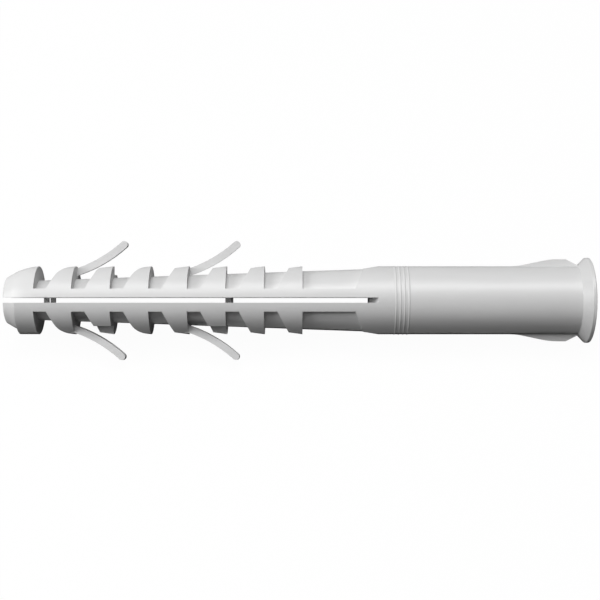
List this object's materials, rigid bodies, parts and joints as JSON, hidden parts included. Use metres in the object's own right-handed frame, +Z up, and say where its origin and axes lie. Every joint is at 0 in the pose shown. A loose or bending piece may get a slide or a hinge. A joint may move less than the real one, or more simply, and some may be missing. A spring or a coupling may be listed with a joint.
{
  "type": "frame fixing",
  "caption": "Long one-piece nylon sleeve for a frame screw, with a countersunk head, anti-turn ribs, a slotted saw-tooth expansion zone and spring tongues.",
  "frame": {"origin": "on the sleeve's axis, where the screw seat meets the clear screw bore", "axes": "+X along the axis, out of the head, the way the screw leaves; +Z up as the sleeve lies on a table, rolled 38.5 degrees about X from the plane that holds its tongues and ribs, so that a tongue meets the table"},
  "size_m": [0.0853, 0.016, 0.0124],
  "materials": {
    "nylon": "satin as moulded, light grey"
  },
  "bodies": {
    "root": {"plug_sleeve": "nylon"}
  },
  "joints": []
}
